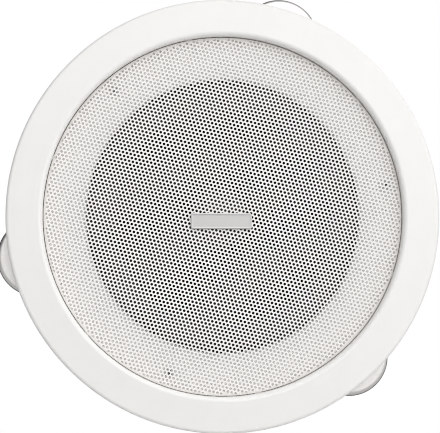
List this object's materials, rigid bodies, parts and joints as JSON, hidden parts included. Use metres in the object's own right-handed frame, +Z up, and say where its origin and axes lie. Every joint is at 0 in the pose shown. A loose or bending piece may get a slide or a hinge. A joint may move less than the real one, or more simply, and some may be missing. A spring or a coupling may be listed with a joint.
{
  "type": "flush-mount loudspeaker",
  "caption": "Round white flush-mount loudspeaker with a broad trim ring, recessed perforated grille, cone driver and sprung clips that hold it in a wall or ceiling cut-out.",
  "frame": {"origin": "centre of the trim ring's rear rim, on the surface of the wall that the ring lies against", "axes": "+Y into the wall, so that the grille faces -Y; +X to the right and +Z up as seen from the front"},
  "size_m": [0.2352, 0.0775, 0.2327],
  "materials": {
    "white_plastic": "moulded, fine satin",
    "white_mesh": "white powder coat on perforated sheet",
    "badge": "satin, bare",
    "white_baffle": "moulded, matt",
    "screw_steel": "zinc plated",
    "foam": "soft closed-cell foam",
    "basket_paint": "black satin paint on pressed steel",
    "black_rubber": "matt",
    "cone_paper": "black pressed paper",
    "cap_black": "semi-gloss",
    "former_foil": "thin foil",
    "copper_wire": "enamelled copper",
    "spider_cloth": "impregnated cloth",
    "plate_steel": "zinc plated, turned",
    "ferrite": "ground ferrite",
    "board": "laminated board",
    "tab_metal": "tinned brass",
    "lead_braid": "braided lead",
    "clip_steel": "bright zinc, dark cut edges",
    "pin_steel": "drawn steel",
    "spring_steel": "oiled spring wire"
  },
  "bodies": {
    "chassis": {"trim_ring": "white_plastic", "grille": "white_mesh", "badge_plate": "badge", "baffle": "white_baffle", "baffle_screws": "screw_steel", "driver_gasket": "foam", "driver_basket": "basket_paint", "driver_screws": "screw_steel", "surround": "black_rubber", "spider": "spider_cloth", "front_plate": "plate_steel", "magnet": "ferrite", "yoke": "plate_steel", "terminal_board": "board", "terminal_rivets": "screw_steel", "terminal_plus": "tab_metal", "terminal_minus": "tab_metal", "lead_plus": "lead_braid", "lead_minus": "lead_braid", "clip_pin_1": "pin_steel", "clip_spring_1": "spring_steel", "clip_pin_2": "pin_steel", "clip_spring_2": "spring_steel", "clip_pin_3": "pin_steel", "clip_spring_3": "spring_steel"},
    "cone_unit": {"cone": "cone_paper", "dust_cap": "cap_black", "coil_former": "former_foil", "voice_coil": "copper_wire"},
    "clip_1": {"clip_paddle_1": "clip_steel"},
    "clip_2": {"clip_paddle_2": "clip_steel"},
    "clip_3": {"clip_paddle_3": "clip_steel"}
  },
  "joints": [
    {"name": "clip_1_swing", "type": "hinge", "parent": "chassis", "child": "clip_1", "pos_m": [0.02721, 0.017, 0.08526], "axis": [-0.9527, 0, 0.304], "range_deg": [0, 88], "stiffness_Nm_per_rad": 0.15, "springref_deg": -57.3, "deforming": ["clip_spring_1"]},
    {"name": "clip_2_swing", "type": "hinge", "parent": "chassis", "child": "clip_2", "pos_m": [-0.08745, 0.017, -0.01907], "axis": [0.213, 0, -0.977], "range_deg": [0, 88], "stiffness_Nm_per_rad": 0.15, "springref_deg": -57.3, "deforming": ["clip_spring_2"]},
    {"name": "clip_3_swing", "type": "hinge", "parent": "chassis", "child": "clip_3", "pos_m": [0.06023, 0.017, -0.0662], "axis": [0.7396, 0, 0.673], "range_deg": [0, 88], "stiffness_Nm_per_rad": 0.15, "springref_deg": -57.3, "deforming": ["clip_spring_3"]},
    {"name": "cone_travel", "type": "slide", "parent": "chassis", "child": "cone_unit", "axis": [0, -1, 0], "range_m": [-0.003, 0.003], "stiffness_N_per_m": 1200, "deforming": ["surround", "spider", "lead_plus", "lead_minus"]}
  ]
}
